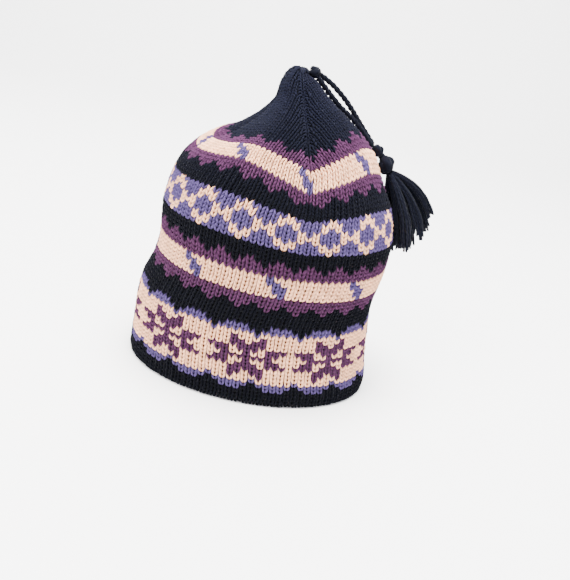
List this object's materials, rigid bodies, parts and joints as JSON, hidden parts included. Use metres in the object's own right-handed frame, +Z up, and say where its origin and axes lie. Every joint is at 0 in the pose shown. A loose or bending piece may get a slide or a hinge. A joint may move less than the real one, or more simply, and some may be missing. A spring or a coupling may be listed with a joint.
{
  "type": "winter hat",
  "caption": "Knitted colour-work winter hat with a star band, striped bands and a mitred crown gathered into a tip, with two twisted cords, knots and a tassel.",
  "frame": {"origin": "on the surface the rim stands on, under the middle of the hat", "axes": "+Z up from the rim to the gathered tip, -Y the front of the hat, +X the side the cords and tassel hang on"},
  "size_m": [0.2204, 0.158, 0.2492],
  "materials": {
    "patterned_knit": "matte wool knit",
    "navy_yarn": "matte wool yarn"
  },
  "bodies": {
    "root": {"knit_shell": "patterned_knit", "tip_knot": "navy_yarn", "cord_inner": "navy_yarn", "cord_outer": "navy_yarn", "knot_small": "navy_yarn", "knot_large": "navy_yarn", "tassel": "navy_yarn"}
  },
  "joints": []
}
